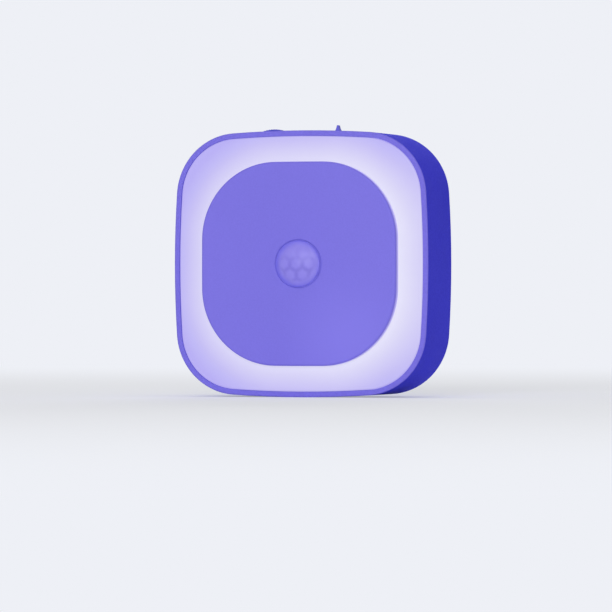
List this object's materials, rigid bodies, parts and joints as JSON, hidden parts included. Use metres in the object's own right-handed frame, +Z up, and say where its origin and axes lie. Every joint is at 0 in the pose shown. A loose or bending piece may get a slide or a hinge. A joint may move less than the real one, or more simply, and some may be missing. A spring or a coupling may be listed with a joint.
{
  "type": "plug in night light",
  "caption": "Square plug-in night light with rounded corners, a lit ring round a raised panel, a honeycomb motion-sensor lens, a mode slider, a dimmer wheel and two flat blades.",
  "frame": {"origin": "on the rear face that meets the outlet, midway between the two plug blades", "axes": "+Z up, +Y back into the outlet along the blades, the lit front faces -Y, +X to the right seen from the front"},
  "size_m": [0.055, 0.0365, 0.0563],
  "materials": {
    "body_plastic": "fine spark-eroded satin, violet-blue",
    "panel_plastic": "smooth satin, violet-blue",
    "control_plastic": "satin, violet-blue",
    "milky_diffuser": "milky, lit from behind",
    "lens_polythene": "translucent, waxy, honeycombed",
    "inner_black_plastic": "matt moulded",
    "can_steel": "drawn, tinned",
    "window_filter": "dark coated silicon filter",
    "header_steel": "plated",
    "eye_epoxy": "moulded epoxy",
    "board_laminate": "white solder mask",
    "led_package": "yellow phosphor gel in white",
    "blade_brass": "nickel-tinted, tumbled",
    "spring_bronze": "rolled strip",
    "screw_steel": "zinc plated",
    "terminal_tin": "tinned",
    "phenolic": "pressed board",
    "switch_nylon": "moulded",
    "film_yellow": "moulded box",
    "capacitor_sleeve": "shrunk sleeve",
    "ferrite": "sintered",
    "copper_wire": "enamelled winding",
    "resistor_lacquer": "flameproof lacquer",
    "varistor_lacquer": "dipped",
    "chip_epoxy": "moulded epoxy"
  },
  "bodies": {
    "body": {"housing": "body_plastic", "back_cover": "body_plastic", "front_panel": "panel_plastic", "diffuser_ring": "milky_diffuser", "sensor_lens": "lens_polythene", "lens_retainer": "inner_black_plastic", "sensor_baffle": "inner_black_plastic", "blade_clamp": "inner_black_plastic", "sensor_can": "can_steel", "switch_frame": "can_steel", "sensor_window": "window_filter", "sensor_header": "header_steel", "light_sensor": "eye_epoxy", "circuit_board": "board_laminate", "led_chips": "led_package", "plug_blade_left": "blade_brass", "plug_blade_right": "blade_brass", "blade_contact_left": "spring_bronze", "blade_contact_right": "spring_bronze", "board_screws": "screw_steel", "clamp_screws": "screw_steel", "switch_terminals": "terminal_tin", "dimmer_terminals": "terminal_tin", "dimmer_shaft": "terminal_tin", "switch_base": "phenolic", "dimmer_base": "phenolic", "film_capacitor": "film_yellow", "input_capacitor": "capacitor_sleeve", "output_capacitor": "capacitor_sleeve", "inductor_core": "ferrite", "inductor_winding": "copper_wire", "fuse_resistor": "resistor_lacquer", "varistor": "varistor_lacquer", "bridge_rectifier": "chip_epoxy", "driver_chip": "chip_epoxy", "controller_chip": "chip_epoxy", "chip_resistors": "chip_epoxy"},
    "mode_slider": {"mode_knob": "control_plastic", "switch_slider": "switch_nylon", "switch_wiper": "spring_bronze"},
    "dimmer": {"dimmer_wheel": "control_plastic", "dimmer_wiper": "spring_bronze"}
  },
  "joints": [
    {"name": "mode_slide", "type": "slide", "parent": "body", "child": "mode_slider", "axis": [1, 0, 0], "range_m": [-0.002, 0.002]},
    {"name": "dimmer_turn", "type": "hinge", "parent": "body", "child": "dimmer", "pos_m": [-0.009, -0.0067, 0.03313], "axis": [0, 1, 0], "range_deg": [-145, 145]}
  ]
}
